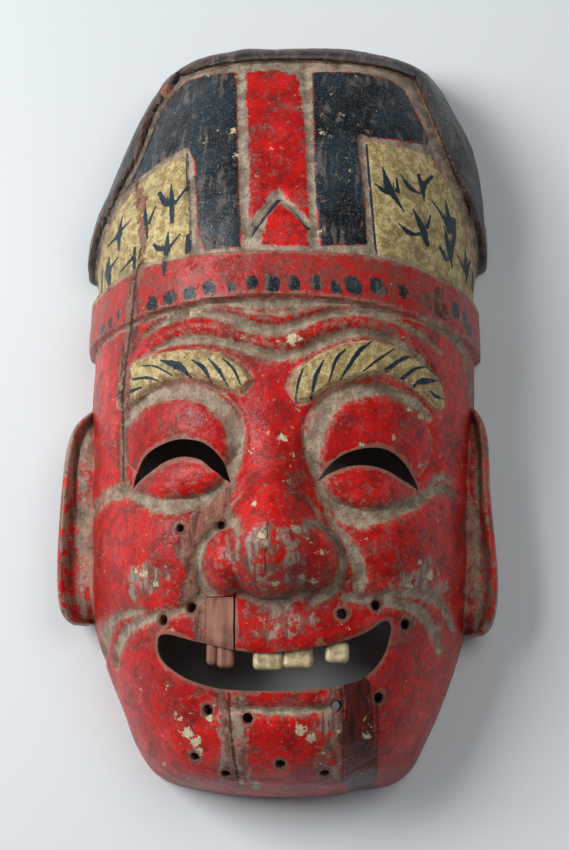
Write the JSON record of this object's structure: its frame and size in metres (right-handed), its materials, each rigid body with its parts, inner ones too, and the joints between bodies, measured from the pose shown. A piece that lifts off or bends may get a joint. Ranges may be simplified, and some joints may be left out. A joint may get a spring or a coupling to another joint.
{
  "type": "carved wooden theatre mask",
  "caption": "Carved and painted wooden face mask of a laughing old man in a stiff hat, hollow behind, with pierced eyes and an open mouth; worn over the face for dance theatre.",
  "frame": {"origin": "middle of the width and length of the mask on the plane of its flat back rim, so the bottom centre of its box", "axes": "+Y from the chin to the top of the hat, +Z out through the nose, +X to the right of someone who looks at the face"},
  "size_m": [0.1794, 0.31, 0.1044],
  "materials": {
    "lacquered_wood": "worn red lacquer over gesso on wood, with blue-black, dull gold and bare patches and grey dirt in the carving",
    "bare_wood": "bare mauve-brown repair wood, dull"
  },
  "bodies": {
    "root": {"mask": "lacquered_wood", "lip_patch": "bare_wood"}
  },
  "joints": []
}
